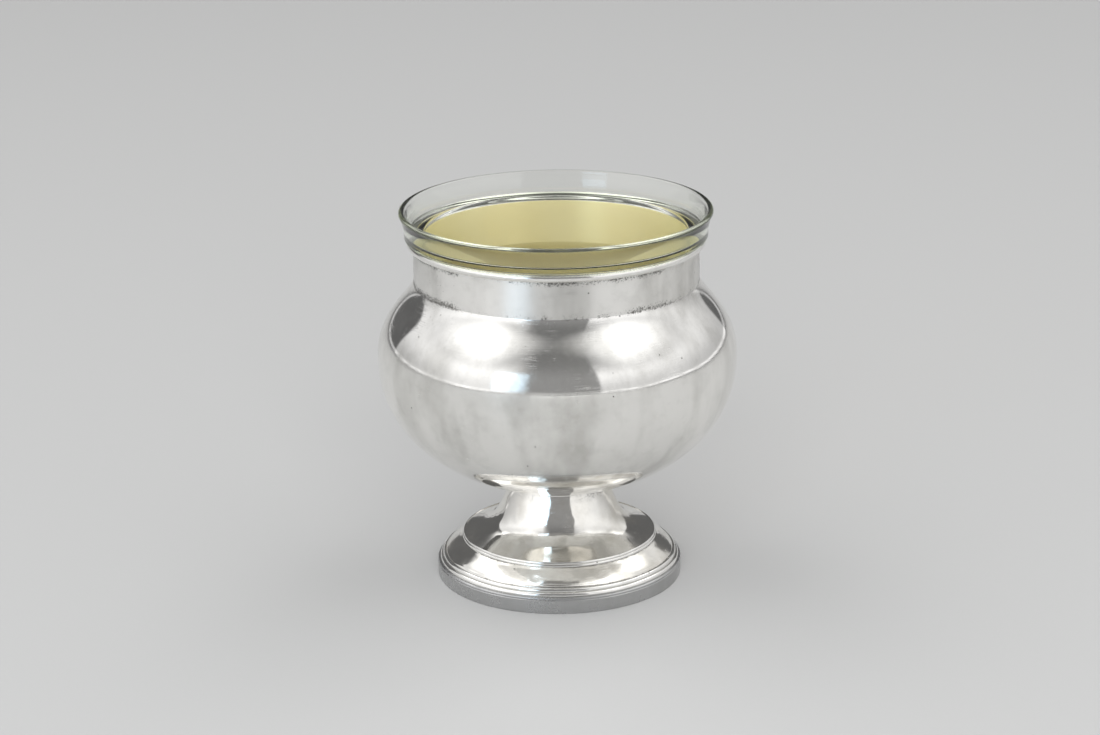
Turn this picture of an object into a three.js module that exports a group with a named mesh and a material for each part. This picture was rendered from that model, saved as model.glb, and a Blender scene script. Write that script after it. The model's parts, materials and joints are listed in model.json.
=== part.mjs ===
// A silver-plated serving cup with a clear glass liner that lifts straight out.
// Every piece is turned about the Z axis. Lengths are in millimetres, and the foot rests on Z = 0.
import * as THREE from "three";

// Heights of the stacked pieces, from the table up.
const bandHeight = 4.5;
const bandBeadHeight = 0.95;
const reedsHeight = 2.35;
const ogeeHeight = 4.75;
const stepHeight = 1.4;
const stemHeight = 17.25;
const lowerBellyHeight = 43.1;
const shoulderHeight = 24.2;
const collarHeight = 12.1;
const lipHeight = 2.35;
const ledgeHeight = 1.85;
const glassWallHeight = 6.7;

// Outer radii, and the widths by which one piece steps in or out from the next.
const footRadius = 39.5;
const bandBeadWidth = 0.85;
const reedsWidth = 1.75;
const ogeeWidth = 5.5;
const stepWidth = 0.6;
const stemRadius = 15.5;
const bellyRadius = 57.5;
const collarRadius = 45.3;
const lipWidth = 2.1;
const ledgeWidth = 4.35;
const rimFlare = 1.59;

// Walls, clearances and the small shapes of edges.
const bandWall = 1.6;
const reedsWall = 1.2;
const reedRise = 0.3;
const stepReedRise = 0.3;
const stepWireLift = 0.2;
const footWall = 1.0;
const stemWall = 1.0;
const bowlWall = 1.0;
const collarWall = 1.0;
const glassWall = 1.9;
const glassFloor = 2.6;
const glassDraft = 2.2;
const glassCorner = 16;
const ledgeFillet = 0.8;
const ledgeEdge = 0.45;
const innerLedgeDrop = 0.4;
const innerLedgeRound = 1.1;
const linerClearance = 0.6;
const linerFloorGap = 13.0;
const seatGap = 0.3;

// Directions of the bowl's outline at the collar and at the stem, and of the stem's outline at its two ends.
const shoulderStartAngle = THREE.MathUtils.degToRad(67);
const bowlFloorAngle = THREE.MathUtils.degToRad(15.2);
const stemTopAngle = THREE.MathUtils.degToRad(66);
const stemEndAngle = THREE.MathUtils.degToRad(21);

// How far each curve holds its end directions, as shares of the rise or the width it spans.
const shoulderStartShare = 0.3;
const shoulderEndShare = 0.55;
const bellyStartShare = 0.53;
const bowlFloorShare = 0.62;
const stemTopShare = 0.78;
const stemEndShare = 0.72;
const ogeeStartShare = 0.4;
const ogeeEndShare = 0.6;
const flareShare = 0.42;

// Steps around the axis, and along each kind of curve.
const turnSteps = 48;
const bellySteps = 8;
const shoulderSteps = 6;
const stemSteps = 10;
const ogeeSteps = 7;
const cornerSteps = 5;
const roundSteps = 4;
const filletSteps = 2;

// Levels that the heights add up to.
const beadTop = bandHeight + bandBeadHeight;
const reedsTop = beadTop + reedsHeight;
const ogeeTop = reedsTop + ogeeHeight;
const stepTop = ogeeTop + stepHeight;
const stemTop = stepTop + stemHeight;
const bellyLevel = stemTop + lowerBellyHeight;
const collarBottom = bellyLevel + shoulderHeight;
const collarTop = collarBottom + collarHeight;
const lipTop = collarTop + lipHeight;
const ledgeBottom = lipTop + seatGap;
const ledgeTop = ledgeBottom + ledgeHeight;
const rimTop = ledgeTop + glassWallHeight;
const linerBase = stemTop + bowlWall + linerFloorGap;

// Radii that follow from the widths.
const beadRadius = footRadius - bandBeadWidth;
const reedsRadius = beadRadius - reedsWidth;
const ogeeRadius = reedsRadius - ogeeWidth;
const stemEndRadius = ogeeRadius - stepWidth;
const bandBore = footRadius - bandWall;
const collarBore = collarRadius - collarWall;
const glassRadius = collarBore - linerClearance;
const ledgeRadius = glassRadius + ledgeWidth;
const rimRadius = ledgeRadius + rimFlare;
const glassCornerRadius = glassRadius - glassDraft;

const silverPlate = { color: 0xc4c2bb, roughness: 0.16, metalness: 1 };
const warmSilverPlate = { color: 0xc6c0ad, roughness: 0.18, metalness: 1 };
const brushedSilverPlate = { color: 0xb4b4b2, roughness: 0.34, metalness: 1 };
const clearGlass = { color: 0xe6ebe0, roughness: 0.04, metalness: 0, transparent: true, opacity: 0.35 };

const point = (radius, height) => new THREE.Vector2(radius, height);

// Points along a curve whose ends are held in the direction of two handles.
function handled(start, startHandle, endHandle, end, steps) {
  return new THREE.CubicBezierCurve(start, startHandle, endHandle, end).getPoints(steps);
}

// Points along a bend from one direction into another, met at a corner point.
function bent(start, corner, end, steps) {
  return new THREE.QuadraticBezierCurve(start, corner, end).getPoints(steps);
}

// Points along an arc, with its angles in degrees from the outward direction.
function arc(centre, radius, fromDegrees, toDegrees, steps) {
  const from = THREE.MathUtils.degToRad(fromDegrees);
  const to = THREE.MathUtils.degToRad(toDegrees);
  const curve = new THREE.EllipseCurve(centre.x, centre.y, radius, radius, from, to, to < from);
  return curve.getPoints(steps);
}

// A round swelling between two points, standing out to the right of the way from start to end.
function swell(start, end, rise, steps) {
  const along = end.clone().sub(start);
  const outward = point(along.y, -along.x).normalize();
  const crown = start.clone().add(end).multiplyScalar(1 / 2).addScaledVector(outward, 2 * rise);
  return bent(start, crown, end, steps);
}

// The inner face of a sheet whose outer face is given upwards: one wall away, with both edges cut level.
function sheetInside(outer, wall) {
  return outer.map((spot, index) => {
    if (index === 0 || index === outer.length - 1) {
      return point(spot.x - wall, spot.y);
    }
    const along = outer[index + 1].clone().sub(outer[index - 1]).normalize();
    return point(spot.x - along.y * wall, spot.y + along.x * wall);
  });
}

// Leaves out points that repeat the one before them.
function withoutRepeats(profile) {
  return profile.filter((spot, index) => index === 0 || !spot.equals(profile[index - 1]));
}

// Turns a closed profile, drawn up its outer side and down its inner side, into a named solid.
function turned(name, profile, finish) {
  const closed = withoutRepeats([...profile, profile[0]]);
  const geometry = new THREE.LatheGeometry(closed, turnSteps);
  geometry.rotateX(Math.PI / 2);
  const mesh = new THREE.Mesh(geometry, new THREE.MeshStandardMaterial(finish));
  mesh.name = name;
  return mesh;
}

// Foot: an upright edge band, two fine reeds, an ogee dome and a small reeded step.
function footBand() {
  const bead = bent(point(footRadius, bandHeight), point(footRadius, beadTop),
    point(beadRadius, beadTop), roundSteps);
  return turned("foot_band", [point(bandBore, 0), point(footRadius, 0), ...bead,
    point(bandBore, beadTop)], brushedSilverPlate);
}

function reededWire() {
  const low = point(beadRadius, beadTop);
  const high = point(reedsRadius, reedsTop);
  const middle = low.clone().lerp(high, 1 / 2);
  const reeds = [...swell(low, middle, reedRise, roundSteps), ...swell(middle, high, reedRise, roundSteps)];
  return turned("reeded_wire", [...reeds, point(reedsRadius - reedsWall, reedsTop),
    point(beadRadius - reedsWall, beadTop)], silverPlate);
}

function footShell() {
  const low = point(reedsRadius, reedsTop);
  const high = point(ogeeRadius, ogeeTop);
  const outer = handled(low, point(low.x, low.y + ogeeHeight * ogeeEndShare),
    point(high.x, high.y - ogeeHeight * ogeeStartShare), high, ogeeSteps);
  return turned("foot_shell", [...outer, ...sheetInside(outer, footWall).reverse()], warmSilverPlate);
}

function stepWire() {
  const low = point(ogeeRadius, ogeeTop);
  const high = point(stemEndRadius, stepTop + stepWireLift);
  const middle = low.clone().lerp(high, 1 / 2);
  const reeds = [...swell(low, middle, stepReedRise, filletSteps),
    ...swell(middle, high, stepReedRise, filletSteps)];
  return turned("step_wire", [...reeds, point(stemEndRadius, ogeeTop)], silverPlate);
}

// Stem: a cone of sheet under the bowl, which bends out into a nearly flat skirt at the step.
function stemShell() {
  const low = point(stemEndRadius, stepTop);
  const high = point(stemRadius, stemTop);
  const pull = (low.x - high.x) * stemEndShare;
  const drop = stemHeight * stemTopShare;
  const outer = handled(low, point(low.x - pull * Math.cos(stemEndAngle), low.y + pull * Math.sin(stemEndAngle)),
    point(high.x + drop / Math.tan(stemTopAngle), high.y - drop), high, stemSteps);
  const inner = sheetInside(outer, stemWall);
  inner[0] = point(stemEndRadius, stepTop - stemWall);
  return turned("stem_shell", [...outer, ...inner.reverse()], warmSilverPlate);
}

// Bowl: one spun sheet, closed by a flat floor where the stem is soldered under it.
function bowlShell() {
  const low = point(stemRadius, stemTop);
  const belly = point(bellyRadius, bellyLevel);
  const high = point(collarRadius, collarBottom);
  const floorPull = (belly.x - low.x) * bowlFloorShare;
  const under = handled(low,
    point(low.x + floorPull * Math.cos(bowlFloorAngle), low.y + floorPull * Math.sin(bowlFloorAngle)),
    point(belly.x, belly.y - lowerBellyHeight * bellyStartShare), belly, bellySteps);
  const shoulderPull = shoulderHeight * shoulderStartShare;
  const above = handled(belly, point(belly.x, belly.y + shoulderHeight * shoulderEndShare),
    point(high.x + shoulderPull * Math.cos(shoulderStartAngle),
      high.y - shoulderPull * Math.sin(shoulderStartAngle)), high, shoulderSteps);
  const outer = withoutRepeats([...under, ...above]);
  const inner = sheetInside(outer, bowlWall);
  inner[0] = point(stemRadius, stemTop + bowlWall);
  const profile = [point(0, stemTop), ...outer, ...inner.reverse(), point(0, stemTop + bowlWall)];
  return turned("bowl_shell", profile, silverPlate);
}

// Collar and lip: a plain upright band with a half-round wire along its top edge.
function neckCollar() {
  return turned("neck_collar", [point(collarBore, collarBottom), point(collarRadius, collarBottom),
    point(collarRadius, collarTop), point(collarBore, collarTop)], silverPlate);
}

function lipWire() {
  const half = lipHeight / 2;
  const centre = point(collarRadius + lipWidth - half, collarTop + half);
  const wire = arc(centre, half, -90, 90, roundSteps);
  return turned("lip_wire", [point(collarBore, collarTop), ...wire, point(collarBore, lipTop)], silverPlate);
}

// Liner: a round-cornered glass beaker that hangs by a ledge on the lip, with a flared wall above it.
function linerOutside() {
  const cornerCentre = point(glassCornerRadius - glassCorner, linerBase + glassCorner);
  const neck = bent(point(glassRadius, ledgeBottom - ledgeFillet), point(glassRadius, ledgeBottom),
    point(glassRadius + ledgeFillet, ledgeBottom), filletSteps);
  const edge = bent(point(ledgeRadius - ledgeEdge, ledgeBottom), point(ledgeRadius, ledgeBottom),
    point(ledgeRadius, ledgeBottom + ledgeEdge), filletSteps);
  const rimLevel = rimTop - glassWall / 2;
  const flare = bent(point(ledgeRadius, ledgeBottom + ledgeEdge),
    point(ledgeRadius, rimLevel - (rimLevel - ledgeBottom) * flareShare), point(rimRadius, rimLevel), roundSteps);
  return [point(0, linerBase), ...arc(cornerCentre, glassCorner, -90, 0, cornerSteps),
    ...neck, ...edge, ...flare];
}

function linerInside() {
  const innerCorner = glassCorner - glassWall;
  const cornerCentre = point(glassCornerRadius - glassCorner, linerBase + glassFloor + innerCorner);
  const wallRadius = ledgeRadius - glassWall;
  const bore = glassRadius - glassWall;
  const rimLevel = rimTop - glassWall / 2;
  const flare = bent(point(rimRadius - glassWall, rimLevel),
    point(wallRadius, rimLevel - (rimLevel - ledgeTop) * flareShare), point(wallRadius, ledgeTop + ledgeEdge),
    roundSteps);
  const ledge = bent(point(wallRadius, ledgeTop + ledgeEdge), point(wallRadius, ledgeTop),
    point(wallRadius - ledgeEdge, ledgeTop), filletSteps);
  const lowLedge = ledgeTop - innerLedgeDrop;
  const mouth = bent(point(bore + innerLedgeRound, lowLedge), point(bore, lowLedge),
    point(bore, lowLedge - innerLedgeRound), filletSteps);
  return [...flare, ...ledge, ...mouth, ...arc(cornerCentre, innerCorner, 0, -90, cornerSteps),
    point(0, linerBase + glassFloor)];
}

function glassLiner() {
  const rimCentre = point(rimRadius - glassWall / 2, rimTop - glassWall / 2);
  const rim = arc(rimCentre, glassWall / 2, 0, 180, roundSteps);
  return turned("glass_liner", [...linerOutside(), ...rim, ...linerInside()], clearGlass);
}

const group = new THREE.Group();
group.add(footBand(), reededWire(), footShell(), stepWire(), stemShell());
group.add(bowlShell(), neckCollar(), lipWire());
group.add(glassLiner());

export default group;
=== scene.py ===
# %% [markdown]
# # A silver-plated serving cup with a glass liner
# The cup is a small silversmith's job: spun sheet, drawn wire and a turned band, soldered together
# on one axis, with a loose glass beaker inside. Every piece is round, so every piece here is a
# profile that is spun about Z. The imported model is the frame: it says how high and how wide each
# piece is, and the fine surface is drawn between those marks.

# %% Load the frame
import json
import math

import bmesh
import bpy
from mathutils import Matrix, Vector, noise
from mathutils.geometry import interpolate_bezier


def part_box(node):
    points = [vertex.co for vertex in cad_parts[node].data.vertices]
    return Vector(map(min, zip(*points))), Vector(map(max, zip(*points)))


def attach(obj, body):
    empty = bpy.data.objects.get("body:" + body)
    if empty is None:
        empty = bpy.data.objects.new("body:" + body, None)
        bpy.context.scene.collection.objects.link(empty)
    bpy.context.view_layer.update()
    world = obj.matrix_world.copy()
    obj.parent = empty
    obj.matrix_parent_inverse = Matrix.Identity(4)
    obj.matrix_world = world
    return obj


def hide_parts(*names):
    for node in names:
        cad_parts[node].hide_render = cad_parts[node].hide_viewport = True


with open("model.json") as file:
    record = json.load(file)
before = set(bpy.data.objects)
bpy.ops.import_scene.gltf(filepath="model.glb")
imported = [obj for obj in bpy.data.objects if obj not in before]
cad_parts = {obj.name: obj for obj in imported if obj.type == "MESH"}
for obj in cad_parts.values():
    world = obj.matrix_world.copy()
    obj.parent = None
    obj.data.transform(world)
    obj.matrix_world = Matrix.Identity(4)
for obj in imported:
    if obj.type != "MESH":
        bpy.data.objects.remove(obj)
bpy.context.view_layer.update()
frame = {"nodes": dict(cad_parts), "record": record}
mm = 0.001

bodies = frame["record"]["behaviour"]["bodies"]
print("bodies:", {name: len(nodes) for name, nodes in bodies.items()})

# %% [markdown]
# ## The camera
# The photograph was taken with a long lens from a little above the rim, so the rim's ellipse is
# narrow and the foot's is a little wider. A camera is only a place, a tilt and a focal length, and
# all three were worked out from the cup's own circles, and so was the slight roll.

# %% Place the camera
sensor_width = 36
focal_in_pixels = 3000
frame_width_in_pixels = 1100
nearest_seen, farthest_seen = 50 * mm, 60
to_the_left, behind, above_table = 2.4 * mm, 914 * mm, 363.2 * mm
look_down = math.radians(17.85)
roll = math.radians(-0.65)

view_data = bpy.data.cameras.new("photo_view")
view_data.sensor_width = sensor_width
view_data.lens = sensor_width * focal_in_pixels / frame_width_in_pixels
view_data.clip_start = nearest_seen
view_data.clip_end = farthest_seen
camera = bpy.data.objects.new("photo_view", view_data)
bpy.context.scene.collection.objects.link(camera)
camera.location = (-to_the_left, -behind, above_table)
tilt = Matrix.Rotation(math.pi / 2 - look_down, 4, "X") @ Matrix.Rotation(roll, 4, "Z")
camera.rotation_euler = tilt.to_euler()
bpy.context.scene.camera = camera
print("focal length in mm:", round(view_data.lens, 1))

# %% [markdown]
# ## Marks from the frame
# Each CAD node's box gives the level of its two seams and its widest radius. All the profiles below
# hang on these marks, so a seam can't drift away from the model that carries the joints.

# %% Read levels and radii
def bottom(node):
    """The level where a node starts."""
    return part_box(node)[0].z


def top(node):
    """The level where a node ends."""
    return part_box(node)[1].z


def reach(node):
    """The widest radius of a round node."""
    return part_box(node)[1].x


for node in frame["nodes"]:
    levels = f"{bottom(node) / mm:.2f} to {top(node) / mm:.2f} mm"
    print(f"{node}: {levels}, radius {reach(node) / mm:.2f}")

# %% [markdown]
# ## Drawing a profile
# A silversmith turns a shape against a template, and a profile is that template. It could be one
# long list of points, but then nobody can see why it bends. Here a stretch between two seams is one
# curve with a handle at each end, and a soft corner is a quarter circle drawn between two points
# and the corner they round off.

# %% Helpers for profiles
quarter_handle = 0.5523


def spot(radius, height):
    """A point of a profile, in the XZ plane."""
    return Vector((radius, 0, height))


def towards(angle):
    """A step of one in a profile, at an angle above the outward direction."""
    return spot(math.cos(angle), math.sin(angle))


def swept(start, start_handle, end_handle, end, steps=32):
    """Points along a curve that leaves towards one handle and arrives from the other."""
    return interpolate_bezier(start, start_handle, end_handle, end, steps + 1)


def rounded(start, corner, end, steps=8):
    """Points along a quarter circle that rounds off a corner."""
    leaving, arriving = start.lerp(corner, quarter_handle), end.lerp(corner, quarter_handle)
    return swept(start, leaving, arriving, end, steps)


def half_round(start, end, rise, steps=12):
    """A wire's rounded face between two points, standing out to the right of the way along it."""
    along = end - start
    out = Vector((along.z, 0, -along.x)).normalized() * rise
    crown = start.lerp(end, 1 / 2) + out
    return rounded(start, start + out, crown, steps) + rounded(crown, end + out, end, steps)


def inside_of(outer, wall):
    """The inner face of a sheet: the outer face moved in by one wall, with both edges cut level."""
    inner = []
    for index, here in enumerate(outer):
        before, after = outer[max(index - 1, 0)], outer[min(index + 1, len(outer) - 1)]
        along = (after - before).normalized()
        inner.append(here + Vector((-along.z, 0, along.x)) * wall)
    inner[0] = outer[0] - spot(wall, 0)
    inner[-1] = outer[-1] - spot(wall, 0)
    return inner


print("a corner of 1 mm drawn with", len(rounded(spot(1, 0), spot(1, 1), spot(0, 1))), "points")

# %% [markdown]
# ## Turning a profile
# Blender's Screw modifier would also turn a profile, but a spin in bmesh leaves a plain mesh. Each
# step of a spin takes longer than the last, so a narrow wedge is spun first, and a second spin sets
# copies of it round the axis. Where wedges meet, and where a profile meets the axis, points fall
# together, so doubles are merged before the normals are recalculated.

# %% Spin a profile into a piece
turn_steps = 288
wedges = 16
merge_distance = 0.0005 * mm


def turned(profile):
    """Spins a profile about Z into a closed mesh, still open to changes."""
    work = bmesh.new()
    chain = [work.verts.new(place) for place in profile]
    for first, second in zip(chain, chain[1:]):
        work.edges.new((first, second))
    if chain[0].co.x > 0:
        work.edges.new((chain[-1], chain[0]))
    bmesh.ops.remove_doubles(work, verts=work.verts, dist=merge_distance)
    bmesh.ops.spin(work, geom=work.verts[:] + work.edges[:], cent=(0, 0, 0), axis=(0, 0, 1),
                   angle=math.tau / wedges, steps=turn_steps // wedges)
    wedge = work.verts[:] + work.edges[:] + work.faces[:]
    bmesh.ops.spin(work, geom=wedge, cent=(0, 0, 0), axis=(0, 0, 1),
                   angle=math.tau * (wedges - 1) / wedges, steps=wedges - 1, use_duplicate=True)
    bmesh.ops.remove_doubles(work, verts=work.verts, dist=merge_distance)
    bmesh.ops.recalc_face_normals(work, faces=work.faces)
    return work


print("a piece is spun in", wedges, "wedges of", turn_steps // wedges, "steps")

# %% [markdown]
# ## Two finishes on one sheet
# The outside of a sheet is polished, and its inside is gilt or left as it came. The two finishes
# could be put on two objects, but a sheet is one piece, so each face gets one of two materials by
# the way it faces. Edges sharper than a smith leaves them stay sharp in the shading. The finished
# piece rides on a body of the frame and takes the place of one of its solids.

# %% Dress a piece and hang it in the frame
sharpest_smooth_angle = math.radians(38)
flat_floor_share = 0.02
nearly_straight = 0.95


def outwards(face):
    """How far a face looks away from the axis: one is straight out, minus one is straight in."""
    centre = face.calc_center_median()
    return Vector((centre.x, centre.y, 0)).normalized().dot(face.normal)


def looks_inwards(face):
    """True on the side of a sheet that faces the axis or, on a flat floor, faces up."""
    return outwards(face) - face.normal.z * flat_floor_share < 0


def faces_the_axis(face):
    """True only where a face stands upright and looks straight at the axis."""
    return outwards(face) < -nearly_straight


def finished(name, work, body, node, finishes, is_inside=looks_inwards):
    """Makes an object of a turned mesh, dresses it and hangs it in the frame."""
    for face in work.faces:
        face.smooth = True
        face.material_index = int(len(finishes) > 1 and is_inside(face))
    for edge in work.edges:
        if edge.is_manifold and edge.calc_face_angle() > sharpest_smooth_angle:
            edge.smooth = False
    data = bpy.data.meshes.new(name)
    work.to_mesh(data)
    work.free()
    for finish in finishes:
        data.materials.append(finish)
    piece = bpy.data.objects.new(name, data)
    bpy.context.scene.collection.objects.link(piece)
    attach(piece, body)
    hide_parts(node)
    print(f"{name}: {len(data.polygons)} faces, {len(finishes)} finish(es)")


print("a piece wears up to two finishes")

# %% [markdown]
# ## Hand-made unevenness
# Old spun silver is never quite true. Light shows it at once: the edges of every reflection wander.
# A bump map can shade that, but the mesh would stay perfect, so the sheet itself is moved in with
# slow noise, by at most 0.4 mm, and by nothing at the seams. The foot has also been knocked, so it
# gets two small dings.

# %% Let a sheet wander
seam_steepness = 6
quick_rate = 2.7
middle_part, slow_part, quick_part = 0.5, 0.4, 0.1


def wandered(work, depth, wavelength, low, high, seed):
    """Moves a sheet towards the axis by slow noise, and by nothing at its two seams."""
    for vert in work.verts:
        share = (vert.co.z - low) / (high - low)
        hold = max(0.0, min(1.0, seam_steepness * share, seam_steepness * (1 - share)))
        slow = noise.noise(vert.co / wavelength + Vector((seed, seed, seed)))
        quick = noise.noise(vert.co / wavelength * quick_rate + Vector((seed, 0, seed)))
        inward = depth * hold * (middle_part + slow_part * slow + quick_part * quick)
        radial = Vector((vert.co.x, vert.co.y, 0))
        if radial.length > merge_distance:
            vert.co -= radial.normalized() * inward


def dented(work, centre, width, depth):
    """Presses a small round ding with an eased edge into a sheet, straight towards the axis."""
    inward = -Vector((centre.x, centre.y, 0)).normalized()
    for vert in work.verts:
        near = max(0.0, 1 - (vert.co - centre).length / width)
        vert.co += inward * depth * near * near * (3 - 2 * near)


print("wander and dings ready")

# %% [markdown]
# ## Building materials from nodes
# Every finish is a Principled shader with procedural detail on Object coordinates, so it sits still
# on its piece from any side. The nodes could be placed by hand in the editor, but so long a graph
# is easier to read as sums. One helper adds a node and fills its sockets, and the others are the
# sums that come up again and again.

# %% Helpers for node graphs
def add(tree, kind, sockets=None, **settings):
    """Adds one node, sets it, and links or fills its inputs."""
    made = tree.nodes.new(kind)
    for key, value in settings.items():
        setattr(made, key, value)
    for key, value in (sockets or {}).items():
        if isinstance(value, bpy.types.NodeSocket):
            tree.links.new(value, made.inputs[key])
        else:
            made.inputs[key].default_value = value
    return made


def maths(tree, operation, first, second=0.0, clamp=False):
    """One sum of two values, or of one."""
    return add(tree, "ShaderNodeMath", {0: first, 1: second}, operation=operation,
               use_clamp=clamp).outputs[0]


def weighed(tree, total, *parts, clamp=False):
    """Adds more values to a first one, each times its own weight."""
    for value, weight in parts:
        total = maths(tree, "ADD", total, maths(tree, "MULTIPLY", value, weight), clamp=clamp)
    return total


def ranged(tree, value, low, high, to_low=0.0, to_high=1.0):
    """Eases a value from one range into another and stops at its ends."""
    sockets = {"Value": value, "From Min": low, "From Max": high, "To Min": to_low,
               "To Max": to_high}
    return add(tree, "ShaderNodeMapRange", sockets, interpolation_type="SMOOTHSTEP").outputs[0]


def blended(tree, share, first, second):
    """Mixes two colours, given as sockets or as red, green and blue."""
    sockets = {0: share, 6: first if isinstance(first, bpy.types.NodeSocket) else (*first, 1),
               7: second if isinstance(second, bpy.types.NodeSocket) else (*second, 1)}
    return add(tree, "ShaderNodeMix", sockets, data_type="RGBA").outputs[2]


print("sums ready")

# %% [markdown]
# ## What every finish starts from
# Dirt, film and wear all begin as soft noise, and nearly every finish ends in bumps. Real grooves
# would be truer than bumps, but these are hundredths of a millimetre deep at most, and only their
# shading is seen. So the mesh stays as it is, and the bumps turn the light.

# %% Noise, bumps and a bare shader
def clouds(tree, place, scale, detail=4.0, rough=0.55):
    """Soft noise around a half. A larger scale makes smaller clouds."""
    sockets = {"Vector": place, "Scale": scale, "Detail": detail, "Roughness": rough}
    return add(tree, "ShaderNodeTexNoise", sockets).outputs[0]


def emboss(tree, shader, relief, strength):
    """Wires a relief, in millimetres, to a shader as bumps."""
    bump = add(tree, "ShaderNodeBump", {"Strength": strength, "Distance": mm, "Height": relief})
    tree.links.new(bump.outputs[0], shader.inputs["Normal"])


def new_finish(name):
    """An empty material with a Principled shader wired to its output."""
    finish = bpy.data.materials.new(name)
    finish.use_nodes = True
    tree = finish.node_tree
    return finish, tree, tree.nodes["Principled BSDF"]


print("a finish can be started")

# %% [markdown]
# ## Marks that follow the lathe
# Spinning and years of wiping leave fine lines that run round the axis. A line round the axis is
# where radius and height stay the same, so noise that changes quickly with radius and height, and
# slowly with X and Y, draws such lines on any turned shape, upright or flat. Wiping also leaves
# short hairlines in all directions: noise squeezed flat in a turned box, cut to a thin band and
# broken up by a second, slower noise.

# %% Lathe lines and hairlines
hairline_width = 0.016
hairline_breaks = 130.0


def lathe_lines(tree, place, lines_per_metre, drift=35.0):
    """Noise that runs in fine rings about the axis."""
    parts = add(tree, "ShaderNodeSeparateXYZ", {0: place}).outputs
    flat = add(tree, "ShaderNodeCombineXYZ", {0: parts[0], 1: parts[1]}).outputs[0]
    radius = add(tree, "ShaderNodeVectorMath", {0: flat}, operation="LENGTH").outputs["Value"]
    rings = add(tree, "ShaderNodeCombineXYZ",
                {0: maths(tree, "MULTIPLY", radius, lines_per_metre),
                 1: maths(tree, "MULTIPLY", parts[2], lines_per_metre),
                 2: maths(tree, "MULTIPLY", parts[0], drift)}).outputs[0]
    sockets = {"Vector": rings, "W": maths(tree, "MULTIPLY", parts[1], drift), "Scale": 1.0,
               "Detail": 3.0, "Roughness": 0.6}
    return add(tree, "ShaderNodeTexNoise", sockets, noise_dimensions="4D").outputs[0]


def hairlines(tree, place, turn, fineness, length=22.0):
    """Thin short scratches that lie along one direction of a turned box."""
    sockets = {"Vector": place, "Rotation": turn, "Scale": (length, length, fineness)}
    turned_place = add(tree, "ShaderNodeMapping", sockets).outputs[0]
    field = clouds(tree, turned_place, 1.0, detail=1.0)
    from_middle = maths(tree, "ABSOLUTE", maths(tree, "SUBTRACT", field, 0.5))
    thin = ranged(tree, from_middle, 0.0, hairline_width, 1.0, 0.0)
    broken = clouds(tree, place, hairline_breaks, detail=2.0)
    broken = ranged(tree, broken, 0.50, 0.68)
    return maths(tree, "MULTIPLY", thin, broken)


print("lines ready")

# %% [markdown]
# ## Pits, smears and dark seams
# The plate has small pits, a cloth leaves upright smears, and dirt stays where two pieces meet.
# Pits are round, so they come from a Voronoi pattern, whose cells hold one centre each. Smears are
# noise drawn out along the height. A seam could be painted on the mesh, but every piece is turned,
# so a seam is only a level, and the distance from it in height is enough.

# %% Specks, wipes and dark seams
speck_core = 0.4
cloth_turn = (0.16, 0.22, 0)


def specks(tree, place, per_metre, rarity, size):
    """Small round pits: a few cells of a Voronoi pattern hold one each."""
    cells = add(tree, "ShaderNodeTexVoronoi", {"Vector": place, "Scale": per_metre})
    lot = add(tree, "ShaderNodeSeparateColor", {0: cells.outputs["Color"]}).outputs[0]
    chosen = maths(tree, "GREATER_THAN", lot, rarity)
    near = ranged(tree, cells.outputs["Distance"], size * speck_core, size, 1.0, 0.0)
    return maths(tree, "MULTIPLY", chosen, near)


def wipes(tree, place, across=70.0, along=16.0):
    """Soft upright smears, as a cloth leaves them."""
    sockets = {"Vector": place, "Rotation": cloth_turn, "Scale": (across, across, along)}
    drawn = add(tree, "ShaderNodeMapping", sockets).outputs[0]
    return clouds(tree, drawn, 1.0, detail=3.0, rough=0.5)


def seam_shade(tree, place, levels, spread):
    """A band that is strongest at each of the given heights and gone at a spread away from it."""
    height = add(tree, "ShaderNodeSeparateXYZ", {0: place}).outputs[2]
    total = 0.0
    for level in levels:
        away = maths(tree, "ABSOLUTE", maths(tree, "SUBTRACT", height, level))
        total = maths(tree, "MAXIMUM", total, ranged(tree, away, 0.0, spread, 1.0, 0.0))
    return total


print("marks ready")

# %% [markdown]
# ## What lies on old silver
# Silver is the whitest of metals, but an old polished piece is not one even white: there is a warm,
# cloudy film of tarnish that polishing has only thinned, black residue where the cloth can't reach,
# along seams and grooves, and small dark pits. All this could be painted on a flattened copy of the
# surface, but noise reaches every side of a turned piece and shows no seam. Each helper here gives
# a share between zero and one.

# %% Where film, pits, scratches and residue lie
patches_part, smears_part, mottle_part = 0.38, 0.44, 0.18
fine_pit_depth = 0.7
scratch_turns = ((0.4, 0.9, 0.2), (1.7, 0.3, 1.1), (2.6, 1.4, 0.5))
first_fineness, finer_by = 620.0, 240.0
crowding = 0.19


def film_on(tree, place):
    """The film of tarnish: slow patches, upright smears and a fine mottle."""
    patches = ranged(tree, clouds(tree, place, scale=24.0, detail=6.0, rough=0.6), 0.44, 0.72)
    smears = ranged(tree, wipes(tree, place), 0.44, 0.68)
    mottle = ranged(tree, clouds(tree, place, scale=150.0, detail=5.0, rough=0.65), 0.46, 0.72)
    return weighed(tree, 0.0, (patches, patches_part), (smears, smears_part),
                   (mottle, mottle_part), clamp=True)


def pits_in(tree, place):
    """A few pits everywhere, and a crowd of finer ones in some areas."""
    few = specks(tree, place, per_metre=420.0, rarity=0.94, size=0.16)
    many = specks(tree, place, per_metre=1150.0, rarity=0.72, size=0.22)
    crowded = ranged(tree, clouds(tree, place, scale=19.0, detail=3.0), 0.54, 0.66)
    many = maths(tree, "MULTIPLY", many, crowded)
    return maths(tree, "MAXIMUM", few, maths(tree, "MULTIPLY", many, fine_pit_depth))


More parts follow.
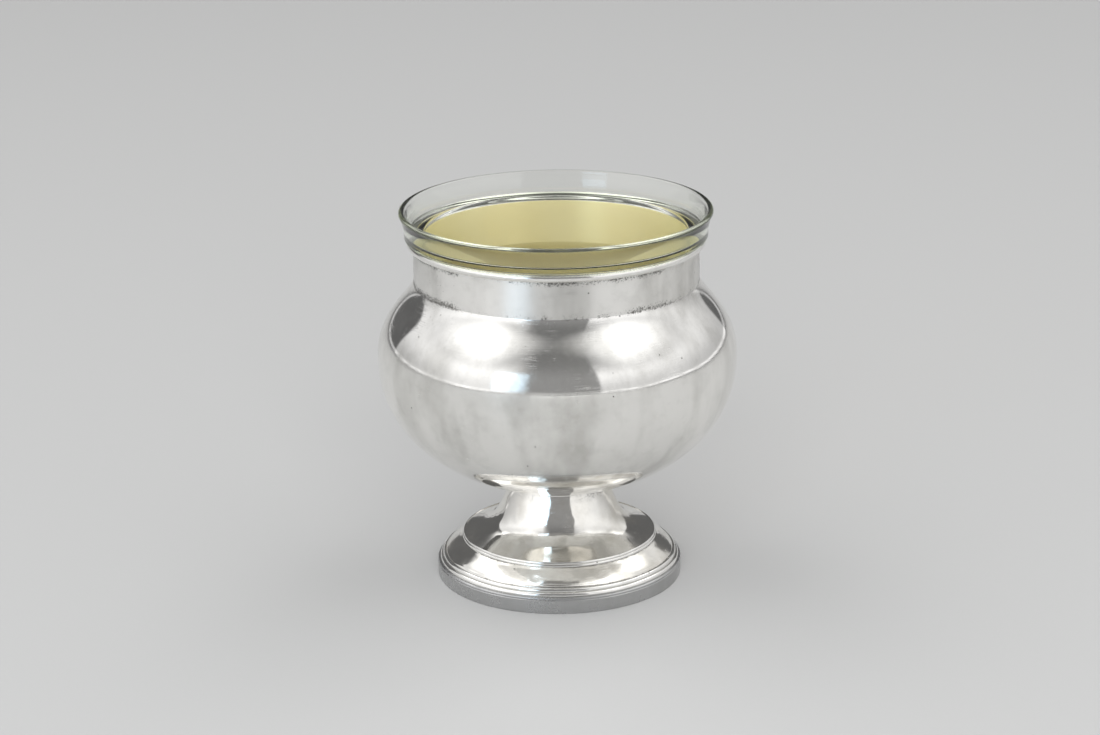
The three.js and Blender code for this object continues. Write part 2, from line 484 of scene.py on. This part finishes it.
def scratches_on(tree, place):
    """Hairlines in three directions, each finer than the one before."""
    found = 0.0
    for number, turn in enumerate(scratch_turns):
        lines = hairlines(tree, place, turn, first_fineness + finer_by * number)
        found = maths(tree, "MAXIMUM", found, lines)
    return found


def residue_on(tree, place, seams, spread):
    """Black crumbs that crowd together towards the seams."""
    uneven = clouds(tree, place, scale=38.0, detail=4.0, rough=0.7)
    uneven = ranged(tree, uneven, 0.40, 0.60, 0.25, 1.0)
    near_seam = maths(tree, "MULTIPLY", seam_shade(tree, place, seams, spread), uneven)
    crumbs = clouds(tree, place, scale=1500.0, detail=6.0, rough=0.8)
    crumbs = ranged(tree, weighed(tree, crumbs, (near_seam, crowding)), 0.58, 0.70)
    return maths(tree, "MULTIPLY", crumbs, ranged(tree, near_seam, 0.0, 0.5))


print("scratches lie in", len(scratch_turns), "directions")

# %% [markdown]
# ## Silver plate
# The film takes the shine down with the colour, so one share drives both, and it hides a little of
# the metal. Three hairline directions and the lathe lines go into the bump, and they are what makes
# a lamp's reflection glow a little past its edge. A piece that was rubbed round the axis stretches
# every reflection across the rubbing, which the Anisotropic setting does.

# %% Mix the silver
bright_silver = (0.90, 0.89, 0.86)
cloudy_silver = (0.47, 0.46, 0.43)
worn_silver = (0.68, 0.67, 0.64)
warm_silver = (0.89, 0.875, 0.835)
warm_film = (0.55, 0.52, 0.45)
grey_silver = (0.50, 0.50, 0.50)
grey_film = (0.36, 0.36, 0.35)
black_residue = (0.10, 0.095, 0.085)
residue_strength, pit_strength = 0.8, 0.75
film_over_metal = 0.15
film_dulls, dark_dulls, scratches_dull, haze_dulls = 0.13, 0.30, 0.20, 0.06
scratch_depth, pit_depth = 0.014, 0.05
relief_strength = 0.35
quarter_turn = 0.25


def brush_round(tree, shader, strength):
    """Stretches reflections across fine lines that run round the axis."""
    shader.inputs["Anisotropic"].default_value = strength
    shader.inputs["Anisotropic Rotation"].default_value = quarter_turn
    tangent = add(tree, "ShaderNodeTangent", direction_type="RADIAL", axis="Z").outputs[0]
    tree.links.new(tangent, shader.inputs["Tangent"])


def silver(name, clean, film, shine, seams=(), seam_spread=0.9 * mm, line_height=0.02,
           line_rate=2600.0, brushed=0.0):
    """Old silver plate. shine is its roughness where it is cleanest."""
    finish, tree, shader = new_finish(name)
    place = add(tree, "ShaderNodeTexCoord").outputs["Object"]
    film_share, pits = film_on(tree, place), pits_in(tree, place)
    scratches = scratches_on(tree, place)
    residue = residue_on(tree, place, seams, seam_spread)
    haze = ranged(tree, clouds(tree, place, scale=650.0, detail=4.0, rough=0.7), 0.46, 0.68)
    dark = maths(tree, "MAXIMUM", maths(tree, "MULTIPLY", residue, residue_strength),
                 maths(tree, "MULTIPLY", pits, pit_strength))
    tone = blended(tree, dark, blended(tree, film_share, clean, film), black_residue)
    tree.links.new(tone, shader.inputs["Base Color"])
    metal = weighed(tree, 1.0, (film_share, -film_over_metal))
    tree.links.new(metal, shader.inputs["Metallic"])
    dullness = weighed(tree, shine, (film_share, film_dulls), (dark, dark_dulls),
                       (scratches, scratches_dull), (haze, haze_dulls), clamp=True)
    tree.links.new(dullness, shader.inputs["Roughness"])
    lines = lathe_lines(tree, place, line_rate)
    relief = weighed(tree, 0.0, (lines, line_height), (scratches, -scratch_depth),
                     (pits, -pit_depth))
    emboss(tree, shader, relief, relief_strength)
    if brushed:
        brush_round(tree, shader, brushed)
    return finish


print("silver can be mixed")

# %% [markdown]
# ## Seven kinds of silver plate
# The pieces were polished and wiped differently, so each kind has its own clean tone, film and
# shine. One finish for all would be quicker, but the cup would look like a single casting. The
# collar and the foot band were rubbed round the axis, the wires stand out and are wiped bright, and
# hidden faces were never polished at all.

# %% Seven kinds of silver plate
collar_seam = bottom("neck_collar")
lip_seam = top("neck_collar")
bowl_silver = silver("bowl silver plate", bright_silver, cloudy_silver, shine=0.035,
                     seams=(collar_seam,))
collar_silver = silver("collar silver plate", bright_silver, cloudy_silver, shine=0.30,
                       seams=(collar_seam, lip_seam), seam_spread=2.8 * mm, line_height=0.06,
                       brushed=0.95)
wire_silver = silver("wire silver plate", bright_silver, worn_silver, shine=0.07, line_height=0.01)
stem_silver = silver("stem silver plate", warm_silver, warm_film, shine=0.045,
                     seams=(bottom("bowl_shell"),), seam_spread=4.5 * mm)
foot_silver = silver("foot silver plate", warm_silver, warm_film, shine=0.05,
                     seams=(top("reeded_wire"), top("foot_shell")), seam_spread=0.5 * mm)
band_silver = silver("brushed band silver plate", grey_silver, grey_film, shine=0.26,
                     line_height=0.09, line_rate=4200.0)
unpolished_silver = silver("unpolished silver plate inside", cloudy_silver, warm_film, shine=0.34,
                           line_height=0.08, line_rate=1500.0)
silver_names = [finish.name for finish in bpy.data.materials if "silver" in finish.name]
print("silver finishes:", silver_names)

# %% [markdown]
# ## The gilt inside
# Salt and fruit acids eat silver, so such cups are gilt inside with a thin, pale wash of gold. It
# is brushed round the axis and not polished, so a lamp shows in it as an upright streak. That is
# what the Anisotropic setting does, with the Tangent node giving the direction of the brushing. A
# wash this matt looks half like paint, so only half of it is metal.

# %% Mix the gilding
pale_gilt = (0.98, 0.89, 0.58)
deep_gilt = (0.93, 0.82, 0.47)
patches_deepen, lines_deepen = 0.45, 0.35
gilt_dullness, lines_dull = 0.34, 0.10
gilt_line_height, gilt_relief_strength = 0.05, 0.3
gilt_metal = 0.48
gilt_brushing = 0.95


def gilding(name):
    """A thin wash of gold, a little patchy and brushed round the axis."""
    finish, tree, shader = new_finish(name)
    place = add(tree, "ShaderNodeTexCoord").outputs["Object"]
    patches = ranged(tree, clouds(tree, place, scale=30.0, detail=4.0), 0.38, 0.68)
    lines = lathe_lines(tree, place, 3600.0, drift=18.0)
    depth = weighed(tree, 0.0, (patches, patches_deepen), (lines, lines_deepen), clamp=True)
    tree.links.new(blended(tree, depth, pale_gilt, deep_gilt), shader.inputs["Base Color"])
    dullness = weighed(tree, gilt_dullness, (lines, lines_dull))
    tree.links.new(dullness, shader.inputs["Roughness"])
    relief = maths(tree, "MULTIPLY", lines, gilt_line_height)
    emboss(tree, shader, relief, gilt_relief_strength)
    shader.inputs["Metallic"].default_value = gilt_metal
    brush_round(tree, shader, gilt_brushing)
    return finish


bowl_gilt = gilding("pale gilt inside")
print("gilding ready")

# %% [markdown]
# ## Glass
# The liner is pressed soda glass. Across its thin wall it is clear, but along the rim, where one
# looks through centimetres of it, it is a faint yellow green. A tinted surface would colour the
# thin wall just as much, so the tint goes into the volume, where it grows with the way through the
# glass. The mould leaves the faces very slightly wavy, which shows in how the reflections run. A
# renderer finds it hard to send a lamp's light through clear glass, and the gilt behind it goes
# dark. So rays from lamps and from matt surfaces pass straight through, and so do reflections that
# start behind the glass and rays that have bounced more than five times. The eye's own rays bend.

# %% Mix the glass
glass_bend = 1.5
wave_height, ring_height, glass_relief_strength = 0.03, 0.003, 0.5
dullest_wear = 0.06
rim_tint, tint_density = (0.80, 0.86, 0.62, 1.0), 60.0
open_colour = (0.98, 0.98, 0.97, 1.0)
past_one_crossing, past_five_bounces = 1.5, 5.5


def let_through(tree, shader, *ways):
    """Lets some rays pass straight through a shader. Each way is one for those rays."""
    passing = 0.0
    for way in ways:
        passing = maths(tree, "MAXIMUM", passing, way)
    open_way = add(tree, "ShaderNodeBsdfTransparent", {"Color": open_colour})
    sockets = {0: passing, 1: shader.outputs[0], 2: open_way.outputs[0]}
    return add(tree, "ShaderNodeMixShader", sockets).outputs[0]


def clear_glass(name):
    """Clear, slightly wavy glass with its tint in the volume."""
    finish, tree, shader = new_finish(name)
    place = add(tree, "ShaderNodeTexCoord").outputs["Object"]
    waves = clouds(tree, place, scale=60.0, detail=1.0)
    rings = lathe_lines(tree, place, 900.0, drift=10.0)
    relief = weighed(tree, 0.0, (waves, wave_height), (rings, ring_height))
    emboss(tree, shader, relief, glass_relief_strength)
    wear = clouds(tree, place, scale=180.0, detail=4.0)
    wear = ranged(tree, wear, 0.55, 0.80, 0.0, dullest_wear)
    tree.links.new(wear, shader.inputs["Roughness"])
    shader.inputs["Base Color"].default_value = (1.0, 1.0, 1.0, 1.0)
    shader.inputs["IOR"].default_value = glass_bend
    shader.inputs["Transmission Weight"].default_value = 1.0
    rays = add(tree, "ShaderNodeLightPath").outputs
    behind = maths(tree, "GREATER_THAN", rays["Transmission Depth"], past_one_crossing)
    reflection = maths(tree, "MULTIPLY", rays["Is Glossy Ray"], behind)
    spent = maths(tree, "GREATER_THAN", rays["Ray Depth"], past_five_bounces)
    surface = let_through(tree, shader, rays["Is Shadow Ray"], rays["Is Diffuse Ray"], reflection,
                          spent)
    tint = add(tree, "ShaderNodeVolumeAbsorption", {"Color": rim_tint, "Density": tint_density})
    ends = tree.nodes["Material Output"].inputs
    tree.links.new(surface, ends["Surface"])
    tree.links.new(tint.outputs[0], ends["Volume"])
    return finish


liner_glass = clear_glass("clear pressed glass")
print("glass ready")

# %% [markdown]
# ## The foot band
# The cup stands on a turned band, matt from standing and wiping, with a bright bead along its
# upper edge. A cylinder with a bevel would do for the band, but the bead and the eased lower edge
# are what catch the light, so the whole section is drawn.

# %% Turn the foot band
foot_body, liner_body = "stand", "liner"
foot_radius = reach("foot_band")
bead_top = top("foot_band")
reeds_radius = reach("reeded_wire")
band_height = 4.5 * mm
band_wall = 1.6 * mm
band_edge = 0.35 * mm
bead_bulge = 0.18 * mm

band_bore = foot_radius - band_wall
bead_foot = spot(foot_radius - bead_bulge, band_height)
lower_edge = rounded(spot(foot_radius - band_edge, 0), spot(foot_radius, 0),
                     spot(foot_radius, band_edge))
bead = rounded(bead_foot + spot(bead_bulge, 2 * bead_bulge), spot(foot_radius, bead_top),
               spot(reeds_radius, bead_top))
profile = [spot(band_bore, 0), *lower_edge, spot(foot_radius, band_height - bead_bulge), bead_foot,
           *bead, spot(band_bore, bead_top)]
finished("brushed_foot_band", turned(profile), foot_body, "foot_band",
         [band_silver, unpolished_silver])

# %% [markdown]
# ## The reeds
# Two half-round reeds of drawn wire run round the foot above the band. A bump could fake them, but
# their groove holds black residue and breaks the light, so the two rounds meet in a real crease.

# %% Turn the reeds
shell_radius = reach("foot_shell")
reeds_top = top("reeded_wire")
reeds_wall = 1.2 * mm
reed_rise = 0.42 * mm

low, high = spot(reeds_radius, bead_top), spot(shell_radius, reeds_top)
middle = low.lerp(high, 1 / 2)
profile = [*half_round(low, middle, reed_rise), *half_round(middle, high, reed_rise),
           high - spot(reeds_wall, 0), low - spot(reeds_wall, 0)]
finished("foot_reeds", turned(profile), foot_body, "reeded_wire",
         [wire_silver, unpolished_silver])

# %% [markdown]
# ## The foot's dome
# The dome is an ogee whose hollow is hardly there: a quick round over the reeds, then a slope of
# about 35 degrees up to the step. A true ogee has a flat middle, which would show the dark
# underside of the bowl. This slope looks past the bowl at the lamps, and that is the broad bright
# ring of the photograph. The round is tighter than the sheet is thick, so the inner face is the
# outer one moved straight in, which can't fold over itself. The step above it is a double bead.

# %% Turn the dome and the step
foot_wall = 1.0 * mm
dome_round = 0.7 * mm
dome_pull = 2.4 * mm
dome_end_angle = math.radians(38)
front_ding = Vector((-7.9, -34.0, 9.8)) * mm
back_ding = Vector((25.6, 24.0, 9.6)) * mm
step_radius = reach("stem_shell")
dome_top = top("foot_shell")
dome_end_radius = step_radius + 0.6 * mm
step_reed_rise = 0.22 * mm
step_reed_steps = 6

low, high = spot(shell_radius, reeds_top), spot(dome_end_radius, dome_top)
outer = swept(low, low + spot(0, dome_round), high + towards(-dome_end_angle) * dome_pull, high)
inner = [place - spot(foot_wall, 0) for place in outer]
dome_work = turned([*outer, *reversed(inner)])
wandered(dome_work, depth=0.25 * mm, wavelength=8 * mm, low=reeds_top, high=dome_top, seed=5.0)
dented(dome_work, front_ding, width=2.4 * mm, depth=0.17 * mm)
dented(dome_work, back_ding, width=2.6 * mm, depth=0.18 * mm)
finished("foot_dome", dome_work, foot_body, "foot_shell",
         [foot_silver, unpolished_silver])

low, high = spot(dome_end_radius, dome_top), spot(step_radius, top("step_wire"))
middle = low.lerp(high, 1 / 2)
profile = [*half_round(low, middle, step_reed_rise, step_reed_steps),
           *half_round(middle, high, step_reed_rise, step_reed_steps), spot(step_radius, dome_top)]
finished("step_beads", turned(profile), foot_body, "step_wire", [wire_silver])

# %% [markdown]
# ## The stem
# The stem is a cone of sheet under the bowl, and bends out into a nearly flat skirt at the step.
# Two cylinders and a bevel could stand in for it, but one curve with a long handle at each end
# gives the straight cone, the quick bend and the skirt at once. The solder that joins it to the
# bowl leaves a small fillet, drawn as the last bend of the profile, so that no hard line shows.

# %% Turn the stem
stem_wall = 1.0 * mm
stem_radius = 15.5 * mm
stem_top_angle = math.radians(66)
stem_end_angle = math.radians(21)
stem_top_share = 0.78
stem_end_share = 0.72
stem_steps = 60
bowl_floor_angle = math.radians(15.2)
solder = 0.8 * mm

bowl_bottom = bottom("bowl_shell")
step_top = bottom("stem_shell") + stem_wall
stem_drop = (bowl_bottom - step_top) * stem_top_share
skirt_pull = (step_radius - stem_radius) * stem_end_share
low, joint = spot(step_radius, step_top), spot(stem_radius, bowl_bottom)
outer = swept(low, low - towards(-stem_end_angle) * skirt_pull,
              joint + spot(stem_drop / math.tan(stem_top_angle), -stem_drop), joint, stem_steps)
inner = inside_of(outer, stem_wall)
inner[0] = spot(step_radius, step_top - stem_wall)
fillet = rounded(joint + towards(-stem_top_angle) * solder, joint,
                 joint + towards(bowl_floor_angle) * solder)
outer = [place for place in outer if (place - joint).length > solder]
stem_work = turned([*outer, *fillet, joint, *reversed(inner)])
wandered(stem_work, depth=0.4 * mm, wavelength=7 * mm, low=step_top, high=bowl_bottom, seed=1.0)
finished("skirted_stem", stem_work, foot_body, "stem_shell",
         [stem_silver, unpolished_silver])

# %% [markdown]
# ## The bowl
# The bowl is spun from one disc of sheet, over a form. It could be lofted from circles, but its two
# curves say more: one sweeps from the stem out to the belly, and the other turns in over the
# shoulder to the crease. The same two curves, one wall further in, make the gilt inside.

# %% Turn the bowl
bowl_wall = 1.0 * mm
belly_height = 43.1 * mm
bowl_floor_share = 0.62
belly_share = 0.53
shoulder_foot_share = 0.55
shoulder_top_share = 0.3
shoulder_angle = math.radians(67)
bowl_steps, shoulder_steps = 56, 40
belly_radius = reach("bowl_shell")
collar_radius = reach("neck_collar")

belly_level = bowl_bottom + belly_height
low, belly = spot(stem_radius, bowl_bottom), spot(belly_radius, belly_level)
high = spot(collar_radius, collar_seam)
floor_pull = (belly_radius - stem_radius) * bowl_floor_share
belly_pull = (belly_level - bowl_bottom) * belly_share
under = swept(low, low + towards(bowl_floor_angle) * floor_pull, belly - spot(0, belly_pull),
              belly, bowl_steps)
shoulder_height = collar_seam - belly_level
shoulder_pull = shoulder_height * shoulder_top_share
above = swept(belly, belly + spot(0, shoulder_height * shoulder_foot_share),
              high + towards(-shoulder_angle) * shoulder_pull, high, shoulder_steps)
outer = under + above[1:]
inner = inside_of(outer, bowl_wall)
inner[0] = low + spot(0, bowl_wall)
profile = [spot(0, bowl_bottom), *outer, *reversed(inner), spot(0, bowl_bottom + bowl_wall)]
bowl_work = turned(profile)
wandered(bowl_work, depth=0.28 * mm, wavelength=24 * mm, low=bowl_bottom, high=collar_seam,
         seed=3.0)
finished("spun_bowl", bowl_work, foot_body, "bowl_shell", [bowl_silver, bowl_gilt])

# %% [markdown]
# ## Collar and lip
# A plain upright band stands on the crease, and a half-round wire finishes its edge. The band has a
# dozen rows of faces, because a band of one row could not wander. The gilding runs up the wire's
# inner face and stops at its rounded edge.

# %% Turn the collar and the lip
collar_wall = 1.0 * mm
collar_bore = collar_radius - collar_wall
lip_top = top("lip_wire")
lip_reach = reach("lip_wire")
lip_half = (lip_top - lip_seam) / 2
lip_inner_edge = 0.3 * mm

rows = 12
levels = [collar_seam + (lip_seam - collar_seam) * row / rows for row in range(rows + 1)]
outer = [spot(collar_radius, level) for level in levels]
inner = [spot(collar_bore, level) for level in levels]
collar_work = turned([*outer, *reversed(inner)])
wandered(collar_work, depth=0.06 * mm, wavelength=30 * mm, low=collar_seam, high=lip_seam,
         seed=8.0)
finished("neck_band", collar_work, foot_body, "neck_collar",
         [collar_silver, bowl_gilt])

low, high = spot(lip_reach - lip_half, lip_seam), spot(lip_reach - lip_half, lip_top)
inner_edge = rounded(spot(collar_bore + lip_inner_edge, lip_top), spot(collar_bore, lip_top),
                     spot(collar_bore, lip_top - lip_inner_edge))
profile = [spot(collar_bore, lip_seam), *half_round(low, high, lip_half), *inner_edge]
finished("rounded_lip", turned(profile), foot_body, "lip_wire",
         [wire_silver, bowl_gilt], faces_the_axis)

# %% [markdown]
# ## The glass liner
# The liner is a beaker with a round-cornered floor. Just over the lip it steps out into a ledge,
# which is what it hangs by, and above that its wall flares a little to a fire-polished rim. It
# could be measured on its own, but its sizes start from the lip and the collar, so that it fits.

# %% Size the liner
seat_gap = 0.3 * mm
ledge_height = 1.85 * mm
ledge_width = 4.35 * mm
liner_clearance = 0.6 * mm
glass_wall = 1.9 * mm
glass_floor = 2.6 * mm
glass_draft = 2.2 * mm
glass_corner = 16 * mm

liner_base = bottom("glass_liner")
rim_level = top("glass_liner") - glass_wall / 2
rim_radius = reach("glass_liner")
ledge_bottom = lip_top + seat_gap
ledge_top = ledge_bottom + ledge_height
glass_radius = collar_bore - liner_clearance
ledge_radius = glass_radius + ledge_width
corner_radius = glass_radius - glass_draft
print("the liner's wall is", round(glass_radius / mm, 2), "mm from the axis")

# %% [markdown]
# ## Both faces of the glass
# Both faces are drawn, because glass without thickness neither bends light nor shows a rim. A
# Solidify modifier would copy each corner of one face to the other, but the ledge's corners differ
# outside and inside. So the profile runs up the outer face, over the rim and down the inner face.

# %% Turn the glass liner
ledge_fillet = 0.8 * mm
ledge_edge = 0.45 * mm
inner_ledge_drop = 0.4 * mm
inner_ledge_round = 1.1 * mm
flare_share = 0.42
corner_steps = 20


def flared(start, corner, end, steps=16):
    """A long easy bend from one direction into another."""
    return swept(start, start.lerp(corner, 2 / 3), end.lerp(corner, 2 / 3), end, steps)


outside = [spot(0, liner_base),
           *rounded(spot(corner_radius - glass_corner, liner_base), spot(corner_radius, liner_base),
                    spot(corner_radius, liner_base + glass_corner), corner_steps),
           *rounded(spot(glass_radius, ledge_bottom - ledge_fillet),
                    spot(glass_radius, ledge_bottom),
                    spot(glass_radius + ledge_fillet, ledge_bottom)),
           *rounded(spot(ledge_radius - ledge_edge, ledge_bottom), spot(ledge_radius, ledge_bottom),
                    spot(ledge_radius, ledge_bottom + ledge_edge)),
           *flared(spot(ledge_radius, ledge_bottom + ledge_edge),
                   spot(ledge_radius, rim_level - (rim_level - ledge_bottom) * flare_share),
                   spot(rim_radius, rim_level))]
rim = half_round(spot(rim_radius, rim_level), spot(rim_radius - glass_wall, rim_level),
                 glass_wall / 2)
wall_radius, bore = ledge_radius - glass_wall, glass_radius - glass_wall
low_ledge = ledge_top - inner_ledge_drop
inner_corner = glass_corner - glass_wall
inner_floor = liner_base + glass_floor
corner_inside = corner_radius - glass_wall
inside = [*flared(spot(rim_radius - glass_wall, rim_level),
                  spot(wall_radius, rim_level - (rim_level - ledge_top) * flare_share),
                  spot(wall_radius, ledge_top + ledge_edge)),
          *rounded(spot(wall_radius, ledge_top + ledge_edge), spot(wall_radius, ledge_top),
                   spot(wall_radius - ledge_edge, ledge_top)),
          *rounded(spot(bore + inner_ledge_round, low_ledge), spot(bore, low_ledge),
                   spot(bore, low_ledge - inner_ledge_round)),
          *rounded(spot(corner_inside, inner_floor + inner_corner),
                   spot(corner_inside, inner_floor),
                   spot(corner_inside - inner_corner, inner_floor), corner_steps),
          spot(0, inner_floor)]
finished("glass_beaker", turned(outside + rim + inside), liner_body, "glass_liner",
         [liner_glass])

# %% [markdown]
# ## The studio
# Polished silver has hardly a look of its own: it shows what is round it. So the studio is planned
# like a photographer's, in three parts: a pale table, soft lamps and a plain grey room. The table
# fills the lower half of every reflection, and it is plain and wide, so that no corner of it shows.

# %% Lay the table
table_size = 12.0
table_grey = (0.50, 0.50, 0.495)
grain_shade = 0.97
table_dullness = 0.6

work = bmesh.new()
bmesh.ops.create_grid(work, x_segments=1, y_segments=1, size=table_size / 2)
table_data = bpy.data.meshes.new("pale_table")
work.to_mesh(table_data)
work.free()
table = bpy.data.objects.new("pale_table", table_data)
bpy.context.scene.collection.objects.link(table)

table_finish, tree, shader = new_finish("pale table")
place = add(tree, "ShaderNodeTexCoord").outputs["Object"]
grain = clouds(tree, place, scale=900.0, detail=3.0)
grain_grey = tuple(part * grain_shade for part in table_grey)
tree.links.new(blended(tree, grain, table_grey, grain_grey), shader.inputs["Base Color"])
shader.inputs["Roughness"].default_value = table_dullness
table_data.materials.append(table_finish)
print("the table is", table_size, "metres wide")

# %% [markdown]
# ## The lamps
# Two large softboxes stand left and right above the cup and make the two bright lobes of the
# shoulder. Two smaller ones stand behind it on both sides and make the bright ring of the foot's
# dome. All four fade towards their edges. A small bluish lamp at the front left keeps crisp edges,
# because it is seen as a window in the bowl and the stem. The front fill lights the gilt inside,
# and reflections and the glass don't show it, or it would look like a second window.

# %% Hang the lamps
aim = Vector((0, 0, 75 * mm))


def heading(azimuth, elevation):
    """A direction from the cup. Azimuth 0 is where the camera stands, and turns to its right."""
    around, above = math.radians(azimuth), math.radians(elevation)
    level = math.cos(above)
    return Vector((math.sin(around) * level, -math.cos(around) * level, math.sin(above)))


def soften(lamp_data):
    """Lets a softbox fade from its middle to its edges, as cloth in front of a bulb does."""
    lamp_data.use_nodes = True
    tree = lamp_data.node_tree
    across = add(tree, "ShaderNodeNewGeometry").outputs["Parametric"]
    place = add(tree, "ShaderNodeSeparateXYZ", {0: across}).outputs
    faded = 1.0
    for side in place[:2]:
        away = maths(tree, "ABSOLUTE", maths(tree, "SUBTRACT", side, 0.5))
        faded = maths(tree, "MULTIPLY", faded, ranged(tree, away, 0.1, 0.5, 1.0, 0.0))
    tree.links.new(faded, tree.nodes["Emission"].inputs["Strength"])


def softbox(name, azimuth, elevation, distance, width, height, radiance, colour=(1, 1, 1)):
    """A lamp that faces the cup. Its size and distance say how large it looks in the silver."""
    lamp_data = bpy.data.lights.new(name, "AREA")
    lamp_data.shape = "RECTANGLE"
    lamp_data.size, lamp_data.size_y = width, height
    lamp_data.color = colour
    lamp_data.energy = radiance * math.pi * width * height
    lamp = bpy.data.objects.new(name, lamp_data)
    bpy.context.scene.collection.objects.link(lamp)
    way = heading(azimuth, elevation)
    lamp.location = aim + way * distance
    lamp.rotation_euler = way.to_track_quat("Z", "Y").to_euler()
    lamp.visible_camera = False
    print(name, "at", [round(part, 2) for part in lamp.location])
    return lamp_data


side_lamp = {"elevation": 64, "distance": 3.0, "width": 3.6, "height": 3.8, "radiance": 1.5}
back_lamp = {"elevation": 50, "distance": 2.6, "width": 2.0, "height": 1.8, "radiance": 2.4}
window_blue = (0.55, 0.78, 1.0)

soften(softbox("left_softbox", azimuth=-80, **side_lamp))
soften(softbox("right_softbox", azimuth=76, **side_lamp))
soften(softbox("back_left_softbox", azimuth=-132, **back_lamp))
soften(softbox("back_right_softbox", azimuth=132, **back_lamp))
softbox("small_front_lamp", azimuth=-31, elevation=17, distance=2.0, width=0.66, height=1.0,
        radiance=1.45, colour=window_blue)
softbox("front_fill", azimuth=0, elevation=26, distance=3.0, width=2.0, height=2.0, radiance=6.0)
fill = bpy.data.objects["front_fill"]
fill.visible_transmission = False
fill.visible_glossy = False

# %% [markdown]
# ## The room
# Silver needs something dark to look bright against. The room is pale on the left and right, the
# left a little brighter, and dark in front, behind and overhead. The pale walls end crisply, except
# at the front left, and those ends are the upright edges in the bowl and the stem. A thin bright
# line stands where the table ends. Real walls could be built, but a few sums on the direction of
# view paint them straight into the world, where they cast no shadow.

# %% Paint the room
front_level, back_level, ceiling_level = 0.30, 0.12, 0.12
left_wall_level, right_wall_level, wall_end_level = 1.05, 0.80, 0.55
wall_top_gain, bright_line = 0.4, 0.45
left_wall, right_wall = (-128, -125, -34, -18), (26, 28, 143, 146)
fade_starts, fade_ends = math.radians(50), math.radians(125)
horizon = 0.02
room_tint = (0.99, 0.99, 1.0, 1.0)

world = bpy.data.worlds.new("calm grey room")
bpy.context.scene.world = world
world.use_nodes = True
tree = world.node_tree
direction = add(tree, "ShaderNodeTexCoord").outputs["Generated"]
along_x, along_y, upwards = add(tree, "ShaderNodeSeparateXYZ", {0: direction}).outputs
azimuth = maths(tree, "ARCTAN2", along_x, maths(tree, "MULTIPLY", along_y, -1.0))


def stretch_of_wall(start, full, fading, end):
    """One between two azimuths in degrees, with an eased edge at both ends."""
    rise = ranged(tree, azimuth, math.radians(start), math.radians(full))
    fall = ranged(tree, azimuth, math.radians(fading), math.radians(end), 1.0, 0.0)
    return maths(tree, "MULTIPLY", rise, fall)


def moved(value, target, share):
    """A value taken a share of the way to another one."""
    way = maths(tree, "SUBTRACT", target, value)
    return maths(tree, "ADD", value, maths(tree, "MULTIPLY", share, way))


base = ranged(tree, along_y, -0.6, 0.5, front_level, back_level)
walls = maths(tree, "MAXIMUM", stretch_of_wall(*left_wall), stretch_of_wall(*right_wall))
wall_level = ranged(tree, along_x, -0.2, 0.2, left_wall_level, right_wall_level)
from_front = maths(tree, "ABSOLUTE", azimuth)
wall_shade = ranged(tree, from_front, fade_starts, fade_ends, wall_level, wall_end_level)
wall_shade = maths(tree, "ADD", wall_shade, ranged(tree, upwards, 0.08, 0.5, 0.0, wall_top_gain))
room = moved(base, wall_shade, walls)
room = moved(room, ceiling_level, ranged(tree, upwards, 0.38, 0.96))
off_horizon = maths(tree, "ABSOLUTE", maths(tree, "SUBTRACT", upwards, horizon))
room = maths(tree, "ADD", room, ranged(tree, off_horizon, 0.01, 0.03, bright_line, 0.0))
background = tree.nodes["Background"].inputs
tree.links.new(room, background["Strength"])
background["Color"].default_value = room_tint
bpy.context.scene.view_settings.view_transform = "Standard"
print("room painted, with", len(tree.nodes), "nodes")
